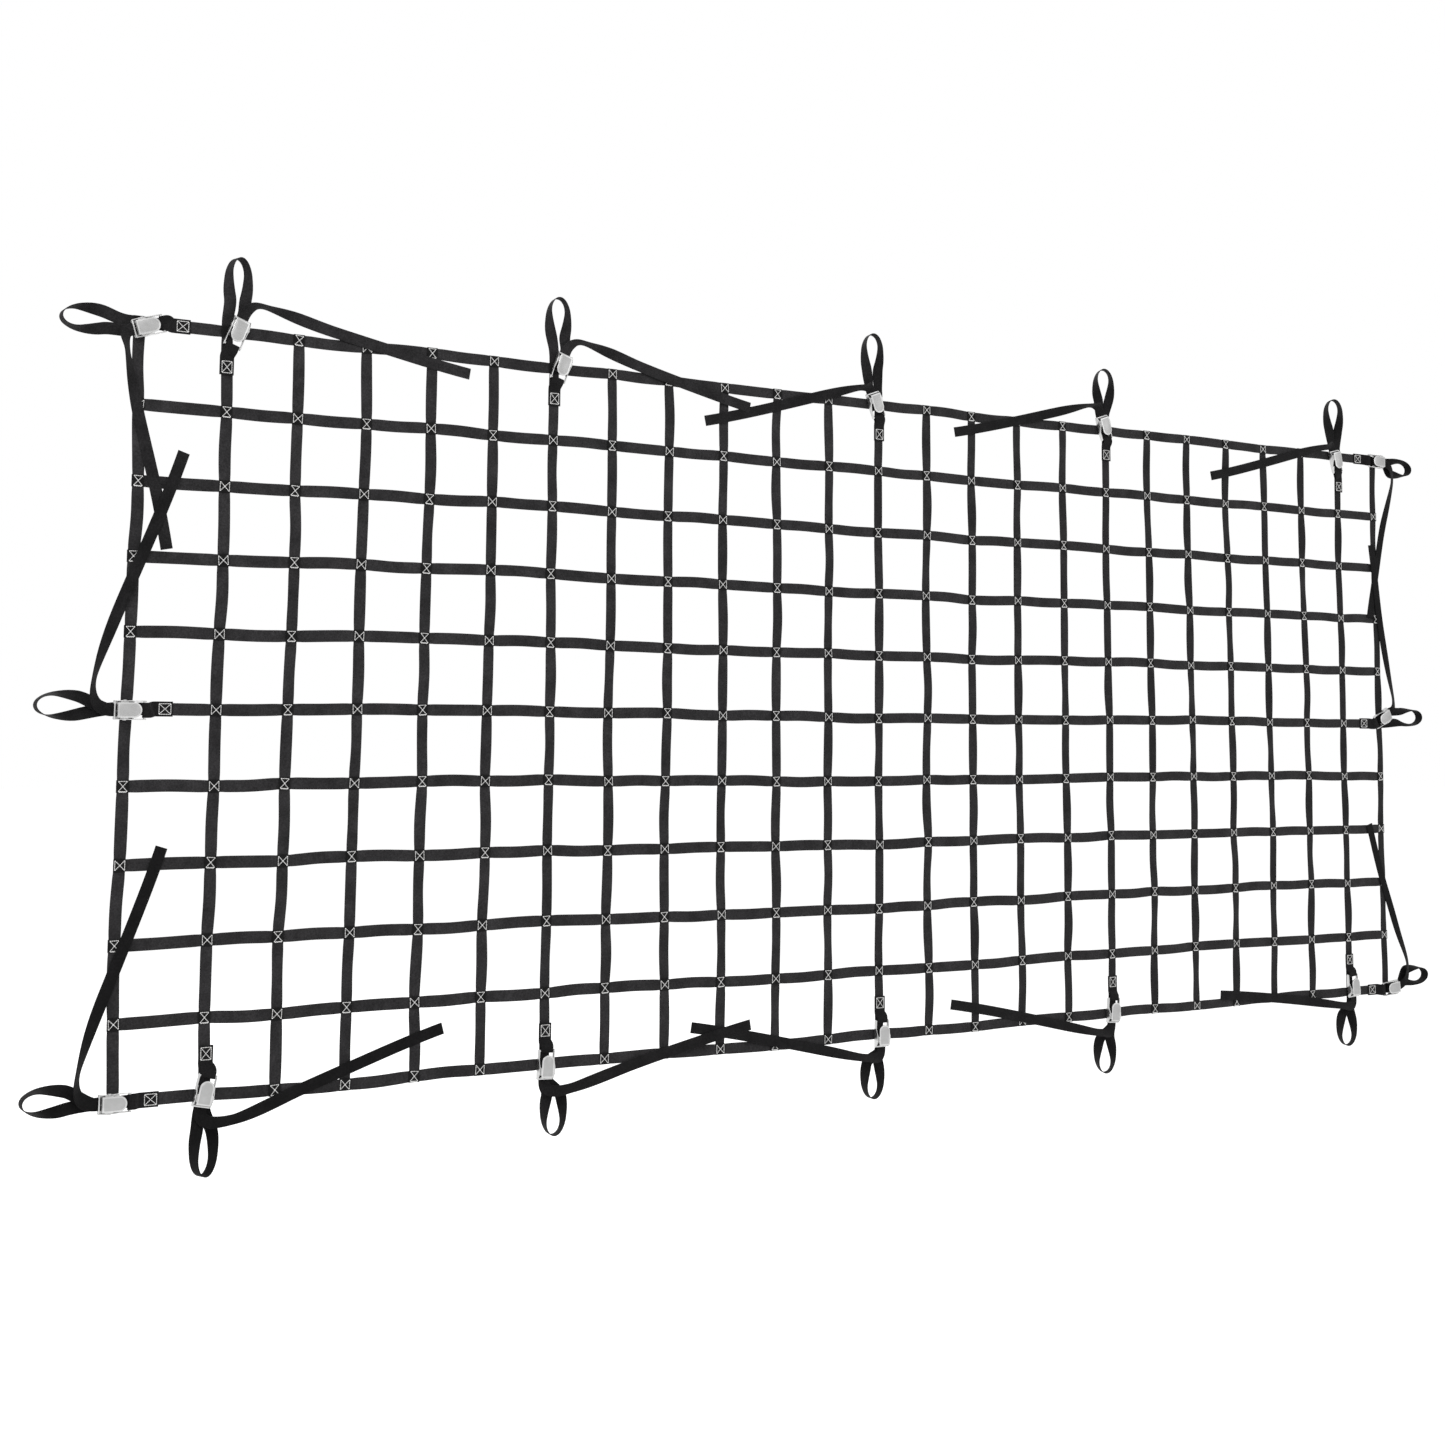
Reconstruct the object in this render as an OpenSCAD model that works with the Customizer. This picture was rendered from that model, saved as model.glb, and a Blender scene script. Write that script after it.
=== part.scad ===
// Cargo climbing net: level and upright webbing straps sewn where they cross, with a cam buckle
// and an open webbing loop at each of sixteen anchor points round the edge.
// The net hangs in the X-Z plane and faces -Y, with +Z up. The origin is the eye of the top
// middle loop. All lengths are in millimetres and all angles in degrees.

/* [Net] */
// Distance between neighbouring straps, centre to centre
cell_pitch = 152; // [120:1:220]
// Distance between the first two upright straps, at the left end
first_column_gap = 182; // [130:1:240]
// Distance between the first two level straps, at the top edge
first_row_gap = 166; // [130:1:240]

/* [Webbing] */
// Width of the net and loop webbing
web_w = 25; // [20:0.5:30]
// Thickness of all webbing
web_t = 1.6; // [1.2:0.1:2]

/* [Loops] */
// Width of the open eye of a loop, between the middles of its two strands
eye_w = 44; // [36:1:60]
// Length of the rounded end of a loop
eye_tip = 38; // [30:1:48]

/* [Buckle] */
// Length of the buckle frame
frame_l = 66; // [62:1:80]
// Thickness of the sheet metal
sheet_t = 2; // [1.6:0.1:2.4]
// Width of the lever's thumb plate
lever_w = 30; // [24:0.5:36]
// Length of the lever's thumb plate
lever_l = 48; // [40:0.5:50]
// Radius of the pivot pin
pin_r = 2.2; // [1.8:0.1:2.5]
// Radius of the bar that the tab is wrapped on
bar_r = 2.5; // [2:0.1:3]

/* [Tab] */
// Width of the tab webbing
tab_w = 30; // [30:0.5:40]
// Distance from the buckle's middle to the sewn end of the tab
tab_reach = 88; // [78:1:105]

/* [Hidden] */
$fn = 48;
WEB_COLOR = "#2a2a2d";
METAL_COLOR = "silver";
THREAD_COLOR = "#d9d9d6";

COLUMNS = 25;
ROWS = 11;
MIDDLE_COLUMN = 12;

// Clearances
strap_gap = 0.25;     // webbing to metal
teeth_gap = 0.15;     // cam teeth to webbing
pin_gap = 0.05;       // pin to its holes
hub_gap = 0.5;        // lever hub to frame wall
tab_gap = 2;          // tab edge to frame wall

// Buckle section: how far each thing stands above the one below it
pivot_rise = 6.8;     // pivot above the strap
plate_rise = 5.5;     // thumb plate above the pivot
wall_rise = 4.5;      // frame wall above the pivot
bar_rise = 0.9;       // tab's wrap above the base plate's back face
front_bar_rise = 0.7; // front bar above the strap
rail = 4;             // half the height of the frame's rails

// Buckle length: how far each thing lies back from the frame's front end
pivot_back = 20;
base_l = 42;

// Layers, measured forwards from the net's front face
back_n = strap_gap + web_t / 2;
base_n = 2 * strap_gap + web_t;
base_top = base_n + sheet_t;
channel_n = base_top + strap_gap / 2 + web_t / 2;
strap_top = channel_n + web_t / 2;
pivot_n = strap_top + pivot_rise;
plate_n = pivot_n + plate_rise;
wrap_r = bar_r + pin_gap + web_t;
bar_n = base_n + bar_rise + wrap_r;
wall_top = pivot_n + wall_rise;

// Places along the buckle, measured from its middle, with the loop's end positive
inner_w = tab_w + 2 * tab_gap;
frame_w = inner_w + 2 * sheet_t;
front_s = frame_l / 2 - 1;
pivot_s = front_s - pivot_back;
base_in = front_s - base_l;
bar_s = rail - frame_l / 2;
front_bar = 4;
front_bar_n = strap_top + front_bar_rise;
lever_front = front_s - front_bar - 1 - pivot_s;
cam_w = inner_w - 2 * hub_gap;
slot_w = 8;
cam_drop = pivot_n - strap_top - teeth_gap;
tooth = 0.5;
tooth_pitch = 1.9;
teeth = 4;
spring_wire = 0.9;
spring_turns = 5;
spring_r = pin_r + 0.15 + spring_wire / 2;
press = 22;
rivet_r = pin_r + 1.3;
rivet_t = 1.2;
wrap_turn = (channel_n - back_n) / 2;
strap_in = base_in - strap_gap;

// Places along the tab, measured from the buckle's middle
patch_end = -52;
seam_from = 4 - tab_reach;
seam_to = patch_end - 8;
seam_w = 20;
wrap_leg = 8;
thread = 1;
thread_t = 0.5;

// Loop shape: a strand's straight start past the net's edge, and how far it holds its way there, at
// the buckle and at the eye
strand_start = 4;
strand_pull = 30;
foot_pull = 18;
eye_pull = 20;
// The eye narrows along an ellipse this long, as far as this angle below its middle
eye_taper = 72;
eye_waist = 36;
// How far past the buckle the twist starts, and how late it comes on the way to the tip
twist_gap = 8;
twist_late = 1.4;
left_twist_late = 3;
// Part's origin below the loop's tip
hang_drop = 27;
// Tail shape: its way past the bend, and how far it holds that way
tail_way = unit([1, -0.15]);
tail_pull = 60;
steps = 9;
eye_steps = 13;
turn_steps = 6;

// Anchor points. Each is: name, side as the angle that its loop points to (0 up, 90 right,
// 180 down, -90 left), strap number, 1 when the tail goes to the left-hand way round,
// lean of the buckle towards its tail, [sideways, outward] place of the buckle's middle,
// [sideways, outward] place of the loop's tip, [sideways, outward] place of the tail's bend,
// [sideways, outward] place of the tail's end, the tail's twist at its bend, how far the tail's
// end is lifted to lie on another tail, and how far the loop has turned at its tip. Sideways is
// positive towards the tail, and all places are measured from where the strap crosses the net's
// edge strap.
ANCHORS = [
    ["top_1", 0, 1, 0, 20, [18, -2], [20, 156], [74, 56], [550, -34], 80, 0, -78],
    ["top_2", 0, 6, 0, 18, [14, 3], [8, 162], [70, 61], [526, -42], 80, 2.2, -100],
    ["top_3", 0, 12, 1, 20, [15, -2], [20, 176], [62, 36], [510, -84], 60, 0, 105],
    ["top_4", 0, 17, 1, 18, [12, 6], [6, 165], [66, 60], [520, -48], 72, 0, 116],
    ["top_5", 0, 23, 1, 14, [16, -16], [14, 166], [72, 20], [520, -94], 50, 0, 116],
    ["bottom_1", 180, 1, 1, -12, [-2, -8], [2, 158], [58, 50], [515, -94], 50, 0, -72],
    ["bottom_2", 180, 6, 1, -3, [0, 0], [24, 153], [62, 53], [536, -48], 48, 2.2, -100],
    ["bottom_3", 180, 12, 0, 0, [-2, -2], [21, 150], [56, 50], [536, -52], 48, 0, 100],
    ["bottom_4", 180, 17, 0, 4, [4, -8], [28, 150], [60, 44], [540, -56], 45, 0, 116],
    ["bottom_5", 180, 23, 0, -5, [-6, -18], [16, 148], [56, 33], [517, -22], 40, 0, 116],
    ["left_1", -90, 0, 1, 17, [8, -16], [4, 156], [64, 27], [455, -70], 50, 0, 90],
    ["left_2", -90, 5, 0, 0, [-3, -5], [5, 177], [58, 70], [517, -98], 55, 2.2, 90],
    ["left_3", -90, 10, 0, 0, [0, -2], [12, 175], [60, 74], [488, -79], 55, 0, 90],
    ["right_1", 90, 0, 0, 2, [3, 6], [17, 158], [62, 69], [467, -30], -26, 0, 90],
    ["right_2", 90, 5, 1, 26, [16, 6], [20, 177], [72, 50], [522, -20], -26, 2.2, 90],
    ["right_3", 90, 10, 1, 6, [2, 14], [32, 172], [70, 82], [470, -56], -26, 0, 90],
];

function is_side(a) = abs(a[1]) == 90;
function tip_of(a) = a[6];

// The eye of the top middle loop is the origin
HUNG_FROM = ANCHORS[2];
eye_x = -tip_of(HUNG_FROM)[0];
eye_z = tip_of(HUNG_FROM)[1] - hang_drop;
function column_x(i) =
    (max(i, 1) - MIDDLE_COLUMN) * cell_pitch - (i == 0 ? first_column_gap : 0) - eye_x;
function row_z(j) = -eye_z - (j == 0 ? 0 : first_row_gap + (j - 1) * cell_pitch);

function two(i) = i < 10 ? str("0", i) : str(i);
function row_name(j) = str("row_webbing_", two(j));
function column_name(i) = str("column_webbing_", two(i));
function lever_name(a) = str("cam_lever_", a[0]);

// ---- Placing ----

// Where an anchor's strap crosses the edge strap
function anchor_x(a) = is_side(a) ? column_x(a[1] > 0 ? COLUMNS - 1 : 0) : column_x(a[2]);
function anchor_z(a) = is_side(a) ? row_z(a[2]) : row_z(a[1] > 90 ? ROWS - 1 : 0);

// Anchor frame: X sideways towards the tail, Z outward, -Y forwards
module at_anchor(a) {
    translate([anchor_x(a), 0, anchor_z(a)])
        rotate([0, a[1], 0])
            mirror([a[3], 0, 0]) children();
}

// Buckle frame: the same, leaning with the buckle and centred on it
module at_buckle(a) {
    at_anchor(a)
        translate([a[5][0], 0, a[5][1]])
            rotate([0, a[4], 0]) children();
}

// Extrudes an outline drawn as [along the buckle, out of the net] from side to side
module across(from, to) {
    rotate([0, -90, 180])
        translate([0, 0, from]) linear_extrude(to - from) children();
}

// Extrudes an outline drawn as [sideways, along the buckle] out of the net
module upright(from, to) {
    rotate([90, 0, 0])
        translate([0, 0, from]) linear_extrude(to - from) children();
}

// ---- Webbing ribbons ----

function unit(v) = v / norm(v);
function ease(x) = let (t = min(max(x, 0), 1)) t * t * (3 - 2 * t);
function bez(p, t) =
    p[0] * pow(1 - t, 3) + 3 * p[1] * t * pow(1 - t, 2) + 3 * p[2] * t * t * (1 - t) + p[3] * pow(t, 3);
function bez_way(p, t) =
    unit((p[1] - p[0]) * pow(1 - t, 2) + 2 * (p[2] - p[1]) * t * (1 - t) + (p[3] - p[2]) * t * t);

// A ribbon station: a middle point and the direction of the width. The strap's way in the plane
// of the net is way, turn is its twist about that way and n its height above the net.
function station(p, way, turn, n) =
    [[p[0], -n, p[1]], [way[1] * cos(turn), sin(turn), -way[0] * cos(turn)]];

function lean_way(a) = [sin(a[4]), cos(a[4])];
function along(a, s) = a[5] + s * lean_way(a);
function strand_n(a) = is_side(a) ? -1.5 * web_t : -web_t / 2;
function eye_base(a) = tip_of(a)[1] - eye_tip;

// Side of the eye, -1 or 1, that the strand from the buckle takes, so that the strands stay apart
function back_side(a) = a[11] < 0 && along(a, front_s)[0] < 0 ? -1 : 1;
function eye_length(f) = sin(f) > 0 ? eye_tip : eye_taper;
function eye_point(a, f) =
    [tip_of(a)[0] - back_side(a) * eye_w / 2 * cos(f), eye_base(a) + eye_length(f) * sin(f)];
function eye_way(a, f) = unit([back_side(a) * eye_w / 2 * sin(f), eye_length(f) * cos(f)]);
function twist_from(a) = along(a, front_s)[1] + twist_gap;
// Share of its turn that a strand has at a height. The loops on the left turn later.
function turned(a, height) =
    let (u = (height - twist_from(a)) / (tip_of(a)[1] - twist_from(a)))
    pow(sin(90 * min(max(u, 0), 1)), a[1] == -90 ? left_twist_late : twist_late);

function out_curve(a) = let (e = eye_point(a, -eye_waist), way = eye_way(a, -eye_waist))
    [[0, web_w / 2 + strand_start], [0, web_w / 2 + strand_pull], e - eye_pull * way, e];
function back_curve(a) =
    let (e = eye_point(a, 180 + eye_waist), way = eye_way(a, 180 + eye_waist), f = along(a, front_s + 3))
    [e, e + eye_pull * way, f + foot_pull * lean_way(a), f];

// A strand's station. It is on edge after a quarter turn, and the rest of the turn swings the eye
// round the loop's own axis. n is its height above the net where it lies flat.
function strand(a, p, way, flat_turn, n) =
    let (k = turned(a, p[1]), sense = sign(a[11]), swing = (a[11] - sense * 90) * k,
         flat = station([0, 0], way, flat_turn + (flat_turn == 0 ? 1 : -1) * sense * 90 * k, 0)[1],
         x = p[0] - tip_of(a)[0])
    [[tip_of(a)[0] + x * cos(swing), x * sin(swing) - n * (1 - k), p[1]],
     [flat[0] * cos(swing) - flat[1] * sin(swing), flat[0] * sin(swing) + flat[1] * cos(swing), flat[2]]];
function out_strand(a, p, way) = strand(a, p, way, 0, strand_n(a));
function back_strand(a, p, way) = strand(a, p, way, 180, back_n);

// From the net out to the eye, round it, and back to the buckle
function loop_stations(a) = let (o = out_curve(a), b = back_curve(a))
    concat(
        [station([0, web_w / 2], [0, 1], 0, strand_n(a))],
        [for (i = [0 : steps]) let (t = i / steps) out_strand(a, bez(o, t), bez_way(o, t))],
        [for (i = [1 : eye_steps - 1])
            let (f = (180 + 2 * eye_waist) * i / eye_steps - eye_waist, p = eye_point(a, f), way = eye_way(a, f))
            f < 90 ? out_strand(a, p, way) : back_strand(a, p, way)],
        [for (i = [0 : steps]) let (t = i / steps) back_strand(a, bez(b, t), bez_way(b, t))]
    );

// Behind the frame's base plate, round its inner edge and out again under the cam
function buckle_stations(a) = let (w = lean_way(a))
    concat(
        [station(along(a, front_s - 4), -w, 180, back_n)],
        [for (i = [0 : turn_steps]) let (f = 180 * i / turn_steps)
            station(along(a, strap_in - wrap_turn * sin(f)), w, 0,
                    (back_n + channel_n) / 2 - wrap_turn * cos(f))],
        [station(along(a, front_s - 4), w, 0, channel_n)]
    );

function bend_curve(a) = let (f = along(a, front_s + 1), b = a[7], d = norm(b - f) / 2)
    [f, f + d * lean_way(a), b - d * tail_way, b];
function end_curve(a) = let (b = a[7], e = a[8])
    [b, b + tail_pull * tail_way, e + (b - e) * 0.4 - [0, 8], e];

// The tail: sideways over the net's edge strap, on edge at its bend and then flat
function tail_stations(a) = let (b = bend_curve(a), e = end_curve(a), rest = back_n + a[10])
    concat(
        [for (i = [0 : turn_steps]) let (t = i / turn_steps, turn = a[9] * ease(t))
            station(bez(b, t), bez_way(b, t), turn, channel_n + web_w / 2 * abs(sin(turn)) + 2 * t)],
        [for (i = [1 : steps]) let (t = i / steps, k = 1 - ease(t * 2.2), turn = a[9] * k)
            station(bez(e, t), bez_way(e, t), turn,
                    rest + web_w / 2 * abs(sin(turn)) + (channel_n + 2 - rest) * k)]
    );

function loop_strap_stations(a) = concat(loop_stations(a), buckle_stations(a), tail_stations(a));

// Sweeps the strap's section along its stations
module ribbon(stations) {
    last = len(stations) - 1;
    points = [for (i = [0 : last])
        let (before = stations[max(i - 1, 0)][0], after = stations[min(i + 1, last)][0],
             p = stations[i][0], w = stations[i][1], way = unit(after - before),
             side = unit(w - way * (w * way)) * web_w / 2, thick = unit(cross(way, w)) * web_t / 2)
        each [p + side + thick, p - side + thick, p - side - thick, p + side - thick]];
    // Both broad faces are split along the same diagonal, so that they stay apart where it twists
    walls = [for (i = [0 : last - 1], c = [0 : 3])
        let (d = (c + 1) % 4, r = 4 * i, near = [r + c, r + d], far = [r + 4 + c, r + 4 + d])
        each c < 2
            ? [[near[0], near[1], far[1]], [near[0], far[1], far[0]]]
            : [[near[0], near[1], far[0]], [near[1], far[1], far[0]]]];
    ends = [[3, 2, 1, 0], [4 * last, 4 * last + 1, 4 * last + 2, 4 * last + 3]];
    polyhedron(points = points, faces = concat(walls, ends), convexity = 8);
}

module loop_straps(side) {
    color(WEB_COLOR)
        for (a = ANCHORS)
            if ((side == 90 && is_side(a)) || a[1] == side)
                at_anchor(a) ribbon(loop_strap_stations(a));
}

// ---- Net ----

module row_webbing(j) {
    color(WEB_COLOR)
        translate([column_x(0) - web_w / 2, web_t, row_z(j) - web_w / 2])
            cube([column_x(COLUMNS - 1) - column_x(0) + web_w, web_t, web_w]);
}

module column_webbing(i) {
    color(WEB_COLOR)
        translate([column_x(i) - web_w / 2, 0, row_z(ROWS - 1) - web_w / 2])
            cube([web_w, web_t, row_z(0) - row_z(ROWS - 1) + web_w]);
}

// ---- Tabs ----

// Front face of the strap that an anchor's tab is sewn to
function patch_n(a) = is_side(a) ? -web_t : 0;

// One free layer of the tab, from its sewn patch to its wrap. The ends run a little way into both.
module tab_layer(a, patch_from, wrap_from) {
    run_in = 1.5;
    inset = 0.1;
    half = tab_w / 2 - inset;
    start = a[5][1] + patch_end - run_in;
    bar = along(a, bar_s - wrap_leg + run_in);
    tip = half * [cos(a[4]), -sin(a[4])];
    function corner(p, n) = [p[0], -n, p[1]];
    points = [
        for (n = [patch_from + inset, patch_from + web_t - inset], x = [-1, 1])
            corner([x * half, start], n),
        for (n = [wrap_from + inset, wrap_from + web_t - inset], x = [-1, 1])
            corner(bar + x * tip, n)
    ];
    faces = [
        [0, 2, 3], [0, 3, 1], [4, 5, 7], [4, 7, 6], [0, 1, 5], [0, 5, 4],
        [2, 6, 7], [2, 7, 3], [0, 4, 6], [0, 6, 2], [1, 3, 7], [1, 7, 5]
    ];
    polyhedron(points = points, faces = faces);
}

// A round nose with two straight legs behind it
module wrap_outline(r) {
    circle(r);
    translate([-wrap_leg, -r]) square([wrap_leg, 2 * r]);
}

module buckle_tabs() {
    color(WEB_COLOR)
        for (a = ANCHORS) {
            at_anchor(a) {
                upright(patch_n(a), patch_n(a) + 2 * web_t)
                    translate([-tab_w / 2, a[5][1] - tab_reach])
                        square([tab_w, tab_reach + patch_end]);
                tab_layer(a, patch_n(a), bar_n - wrap_r);
                tab_layer(a, patch_n(a) + web_t, bar_n + wrap_r - web_t);
            }
            at_buckle(a)
                across(-tab_w / 2, tab_w / 2)
                    translate([bar_s, bar_n]) difference() {
                        wrap_outline(wrap_r);
                        wrap_outline(wrap_r - web_t);
                    }
        }
}

// Box and cross of thread through the tab and the strap behind it
module tab_seams() {
    seam_l = seam_to - seam_from;
    slant = atan2(seam_l, seam_w);
    color(THREAD_COLOR)
        for (a = ANCHORS)
            at_anchor(a)
                upright(patch_n(a) + 2 * web_t, patch_n(a) + 2 * web_t + thread_t)
                    translate([0, a[5][1] + (seam_from + seam_to) / 2]) {
                        difference() {
                            square([seam_w, seam_l], center = true);
                            square([seam_w - 2 * thread, seam_l - 2 * thread], center = true);
                        }
                        for (way = [slant, -slant])
                            rotate(way)
                                square([norm([seam_w, seam_l]) - 2 * thread, thread], center = true);
                    }
}

// ---- Buckles ----

// Side wall: a thin rail back to the bar, and a taller part round the pivot
module wall_outline() {
    polygon([
        [bar_s, bar_n - rail], [base_in, base_n], [front_s, base_n], [front_s, front_bar_n + 3],
        [pivot_s + 9, wall_top], [pivot_s - 8, wall_top], [base_in, bar_n + rail], [bar_s, bar_n + rail]
    ]);
    translate([bar_s, bar_n]) circle(rail);
}

module buckle_frame() {
    for (x = [-frame_w / 2, inner_w / 2])
        across(x, x + sheet_t)
            difference() {
                wall_outline();
                translate([pivot_s, pivot_n]) circle(pin_r + pin_gap);
            }
    upright(base_n, base_top)
        translate([-frame_w / 2, base_in]) square([frame_w, front_s - base_in]);
    across(-inner_w / 2, inner_w / 2) {
        translate([bar_s, bar_n]) circle(bar_r);
        translate([front_s - front_bar, front_bar_n]) square([front_bar, 3]);
    }
}

module buckle_frames() {
    color(METAL_COLOR)
        for (a = ANCHORS) at_buckle(a) buckle_frame();
}

module pivot_pins() {
    color(METAL_COLOR)
        for (a = ANCHORS)
            at_buckle(a) {
                across(-frame_w / 2, frame_w / 2) translate([pivot_s, pivot_n]) circle(pin_r);
                for (x = [-frame_w / 2 - rivet_t, frame_w / 2])
                    across(x, x + rivet_t) translate([pivot_s, pivot_n]) circle(rivet_r);
            }
}

// A close coil on the pin, with one leg on the frame's front bar and one under the thumb plate,
// drawn where the thumb plate presses it
module cam_springs() {
    coil_w = spring_turns * spring_wire;
    leg = spring_wire / 2;
    groove = 0.2;
    front_leg_n = front_bar_n + 3 + leg + pin_gap;
    turns = [for (k = [0 : spring_turns - 1]) each [
        [spring_r + leg - groove, k * spring_wire],
        [spring_r + leg, (k + 0.5) * spring_wire]
    ]];
    color(METAL_COLOR)
        for (a = ANCHORS)
            at_buckle(a)
                translate([0, -pivot_n, pivot_s]) {
                    rotate([0, 90, 0]) translate([0, 0, -coil_w / 2])
                        rotate_extrude()
                            polygon(concat(
                                [[spring_r - leg, 0]],
                                turns,
                                [[spring_r + leg - groove, coil_w], [spring_r - leg, coil_w]]
                            ));
                    translate([leg - coil_w / 2, pivot_n - front_leg_n, 0])
                        cylinder(r = leg - pin_gap, h = front_s - pivot_s - 1);
                    translate([coil_w / 2 - leg, 0, 0])
                        rotate([press, 0, 0]) translate([0, -spring_r, 0])
                            rotate([180, 0, 0]) cylinder(r = leg - pin_gap, h = 11);
                }
}

// Cam block: hub, heel and a toothed foot facing the strap
module cam_outline() {
    circle(cam_drop - tooth);
    polygon(concat(
        [[0, tooth - cam_drop]],
        [for (k = [0 : teeth - 1]) each [
            [(k + 0.3) * tooth_pitch, -cam_drop],
            [(k + 1) * tooth_pitch, tooth - cam_drop]
        ]],
        [[teeth * tooth_pitch + 2, 0], [teeth * tooth_pitch + 2, plate_n - pivot_n + 1]],
        [[tooth - cam_drop, plate_n - pivot_n + 1], [tooth - cam_drop, 0]]
    ));
}

module cam_lever(a) {
    thumb_r = lever_w / 2;
    lip_n = pivot_n - 1.5;
    color(METAL_COLOR)
        at_buckle(a)
            difference() {
                union() {
                    for (x = [-cam_w / 2, slot_w / 2])
                        across(x, x + (cam_w - slot_w) / 2)
                            translate([pivot_s, pivot_n]) cam_outline();
                    upright(plate_n, plate_n + sheet_t) {
                        translate([-lever_w / 2, pivot_s + lever_front - lever_l + thumb_r])
                            square([lever_w, lever_l - thumb_r]);
                        translate([0, pivot_s + lever_front - lever_l + thumb_r]) circle(thumb_r);
                    }
                    upright(lip_n, plate_n + sheet_t)
                        translate([-lever_w / 2, pivot_s + lever_front - sheet_t])
                            square([lever_w, sheet_t]);
                }
                across(-cam_w, cam_w) translate([pivot_s, pivot_n]) circle(pin_r + pin_gap);
            }
}

for (j = [0 : ROWS - 1]) row_webbing(j);
for (i = [0 : COLUMNS - 1]) column_webbing(i);
for (a = ANCHORS) cam_lever(a);
loop_straps(0);  // top_loop_straps
loop_straps(180);  // bottom_loop_straps
loop_straps(90);  // side_loop_straps
buckle_tabs();
buckle_frames();
pivot_pins();
cam_springs();
tab_seams();
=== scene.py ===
"""Looks of the cargo climbing net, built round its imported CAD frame.

Everything is in metres in the CAD frame: the net hangs in the X-Z plane and faces -Y. Lengths that
part.scad also holds are written in millimetres, as they are there, and scaled by MM.
"""

import math

import bmesh
import bpy
import numpy as np
from mathutils import Matrix, Vector


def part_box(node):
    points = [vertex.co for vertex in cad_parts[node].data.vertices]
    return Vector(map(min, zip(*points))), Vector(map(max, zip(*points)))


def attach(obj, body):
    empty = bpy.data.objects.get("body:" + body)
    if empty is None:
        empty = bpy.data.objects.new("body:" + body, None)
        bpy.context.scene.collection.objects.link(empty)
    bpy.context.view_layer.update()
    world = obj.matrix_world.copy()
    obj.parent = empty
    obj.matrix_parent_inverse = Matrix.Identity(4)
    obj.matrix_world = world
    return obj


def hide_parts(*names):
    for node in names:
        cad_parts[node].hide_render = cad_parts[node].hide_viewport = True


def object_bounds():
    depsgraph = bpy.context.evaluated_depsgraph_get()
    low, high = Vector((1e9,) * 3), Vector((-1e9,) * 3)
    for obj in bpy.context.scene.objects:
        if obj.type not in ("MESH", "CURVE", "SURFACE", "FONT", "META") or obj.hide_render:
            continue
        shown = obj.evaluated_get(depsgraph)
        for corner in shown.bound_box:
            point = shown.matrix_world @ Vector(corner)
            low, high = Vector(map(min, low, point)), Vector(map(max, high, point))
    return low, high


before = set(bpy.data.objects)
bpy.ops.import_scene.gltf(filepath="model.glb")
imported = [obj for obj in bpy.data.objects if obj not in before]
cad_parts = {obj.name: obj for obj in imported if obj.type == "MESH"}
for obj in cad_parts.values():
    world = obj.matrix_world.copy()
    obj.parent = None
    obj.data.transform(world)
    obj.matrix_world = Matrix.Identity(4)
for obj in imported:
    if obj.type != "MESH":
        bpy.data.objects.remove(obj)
cad_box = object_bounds()
MM = 0.001

# ---------------------------------------------------------------- camera

CAMERA_PLACE = (-3.080, -4.107, -0.965)
CAMERA_YAW, CAMERA_PITCH, CAMERA_ROLL = (math.radians(a) for a in (32.74, 5.77, 0.37))
CAMERA_LENS = 51.96
CAMERA_SHIFT = -0.138


def make_camera():
    ahead = Vector((
        math.sin(CAMERA_YAW) * math.cos(CAMERA_PITCH),
        math.cos(CAMERA_YAW) * math.cos(CAMERA_PITCH),
        math.sin(CAMERA_PITCH),
    ))
    right = Vector((math.cos(CAMERA_YAW), -math.sin(CAMERA_YAW), 0))
    up = right.cross(ahead)
    cos_roll, sin_roll = math.cos(CAMERA_ROLL), math.sin(CAMERA_ROLL)
    right, up = cos_roll * right + sin_roll * up, cos_roll * up - sin_roll * right
    data = bpy.data.cameras.new("camera")
    data.lens = CAMERA_LENS
    data.sensor_width = 36
    data.shift_y = CAMERA_SHIFT
    camera = bpy.data.objects.new("camera", data)
    bpy.context.scene.collection.objects.link(camera)
    turn = Matrix((right, up, -ahead)).transposed().to_4x4()
    camera.matrix_world = Matrix.Translation(CAMERA_PLACE) @ turn
    bpy.context.scene.camera = camera


# ---------------------------------------------------------------- sizes

COLUMNS, ROWS = 25, 11


def middle(node):
    low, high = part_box(node)
    return (low + high) / 2


COLUMN_X = [middle(f"column_webbing_{i:02d}").x for i in range(COLUMNS)]
ROW_Z = [middle(f"row_webbing_{j:02d}").z for j in range(ROWS)]
_low, _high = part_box("column_webbing_00")
WEB_W = _high.x - _low.x
WEB_T = _high.y - _low.y

# The rest is in millimetres, as in part.scad
web_w, web_t = WEB_W / MM, WEB_T / MM
eye_w, eye_tip = 44, 38
frame_l, sheet_t = 66, 2
lever_w, lever_l = 30, 48
bar_r = 2.5
tab_w, tab_reach = 30, 88
strap_gap, teeth_gap, pin_gap, hub_gap, tab_gap = 0.25, 0.15, 0.05, 0.5, 2
rail, slot_w, wrap_leg = 4, 8, 8
front_bar, front_bar_h = 4, 3

# Layers, forwards from the net's front face
back_n = strap_gap + web_t / 2
base_n = 2 * strap_gap + web_t
base_top = base_n + sheet_t
channel_n = base_top + strap_gap / 2 + web_t / 2
strap_top = channel_n + web_t / 2
pivot_n = strap_top + 6.8
plate_n = pivot_n + 5.5
wrap_r = bar_r + pin_gap + web_t
bar_n = base_n + 0.9 + wrap_r
wall_top = pivot_n + 4.5
front_bar_n = strap_top + 0.7

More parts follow.
